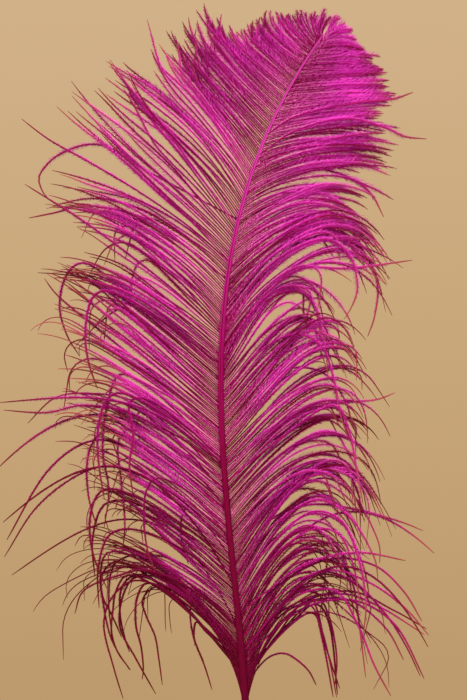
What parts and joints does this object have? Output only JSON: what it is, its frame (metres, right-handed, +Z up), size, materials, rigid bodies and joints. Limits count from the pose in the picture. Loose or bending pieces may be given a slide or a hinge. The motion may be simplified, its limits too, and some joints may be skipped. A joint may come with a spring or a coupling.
{
  "type": "ostrich plume",
  "caption": "Dyed ostrich wing plume: a hollow quill, a tapering shaft that leans and curls back at the tip, and soft drooping locks of barbs down both sides",
  "frame": {"origin": "centre of the quill's cut end, on the quill's axis", "axes": "+Z runs up the quill from its cut end, the front of the vane faces -Y, and the tip leans to +X and curls back to +Y"},
  "size_m": [0.3525, 0.0631, 0.612],
  "materials": {
    "dyed_quill": "satin",
    "dyed_shaft": "satin",
    "dyed_barbs": "matte",
    "dark_barbs": "matte"
  },
  "bodies": {
    "plume_foot": {"calamus": "dyed_quill", "rachis_lower": "dyed_shaft", "lock_left_01": "dark_barbs", "lock_left_02": "dark_barbs", "lock_left_03": "dark_barbs", "lock_left_04": "dyed_barbs", "lock_left_05": "dyed_barbs", "lock_left_06": "dyed_barbs", "lock_right_01": "dark_barbs", "lock_right_02": "dark_barbs", "lock_right_03": "dark_barbs", "lock_right_04": "dyed_barbs", "lock_right_05": "dyed_barbs", "lock_right_06": "dyed_barbs", "stray_left_1": "dark_barbs", "stray_left_2": "dark_barbs", "stray_right_1": "dark_barbs", "stray_right_2": "dark_barbs"},
    "plume_middle": {"rachis_middle": "dyed_shaft", "lock_left_07": "dyed_barbs", "lock_left_08": "dyed_barbs", "lock_left_09": "dyed_barbs", "lock_left_10": "dyed_barbs", "lock_left_11": "dyed_barbs", "lock_left_12": "dyed_barbs", "lock_right_07": "dyed_barbs", "lock_right_08": "dyed_barbs", "lock_right_09": "dyed_barbs", "lock_right_10": "dyed_barbs", "lock_right_11": "dyed_barbs", "lock_right_12": "dyed_barbs", "stray_left_3": "dark_barbs", "stray_left_4": "dark_barbs"},
    "plume_upper": {"rachis_upper": "dyed_shaft", "lock_left_13": "dyed_barbs", "lock_left_14": "dyed_barbs", "lock_left_15": "dyed_barbs", "lock_left_16": "dyed_barbs", "lock_left_17": "dyed_barbs", "lock_right_13": "dyed_barbs", "lock_right_14": "dyed_barbs", "lock_right_15": "dyed_barbs", "lock_right_16": "dyed_barbs", "lock_right_17": "dyed_barbs"},
    "plume_tip": {"rachis_tip": "dyed_shaft", "lock_left_18": "dyed_barbs", "lock_left_19": "dyed_barbs", "lock_left_20": "dyed_barbs", "lock_left_21": "dyed_barbs", "lock_left_22": "dyed_barbs", "lock_right_18": "dyed_barbs", "lock_right_19": "dyed_barbs", "lock_right_20": "dyed_barbs", "lock_right_21": "dyed_barbs", "lock_right_22": "dyed_barbs"}
  },
  "joints": [
    {"name": "lower_bend", "type": "hinge", "parent": "plume_foot", "child": "plume_middle", "pos_m": [-0.01579, -0.01037, 0.208], "axis": [1, 0, 0], "range_deg": [-15, 15], "stiffness_Nm_per_rad": 0.27},
    {"name": "middle_bend", "type": "hinge", "parent": "plume_middle", "child": "plume_upper", "pos_m": [-0.02077, -0.01311, 0.352], "axis": [1, 0, 0], "range_deg": [-20, 20], "stiffness_Nm_per_rad": 0.1},
    {"name": "upper_bend", "type": "hinge", "parent": "plume_upper", "child": "plume_tip", "pos_m": [-0.00071, 0.00131, 0.472], "axis": [1, 0, 0], "range_deg": [-25, 25], "stiffness_Nm_per_rad": 0.03}
  ]
}
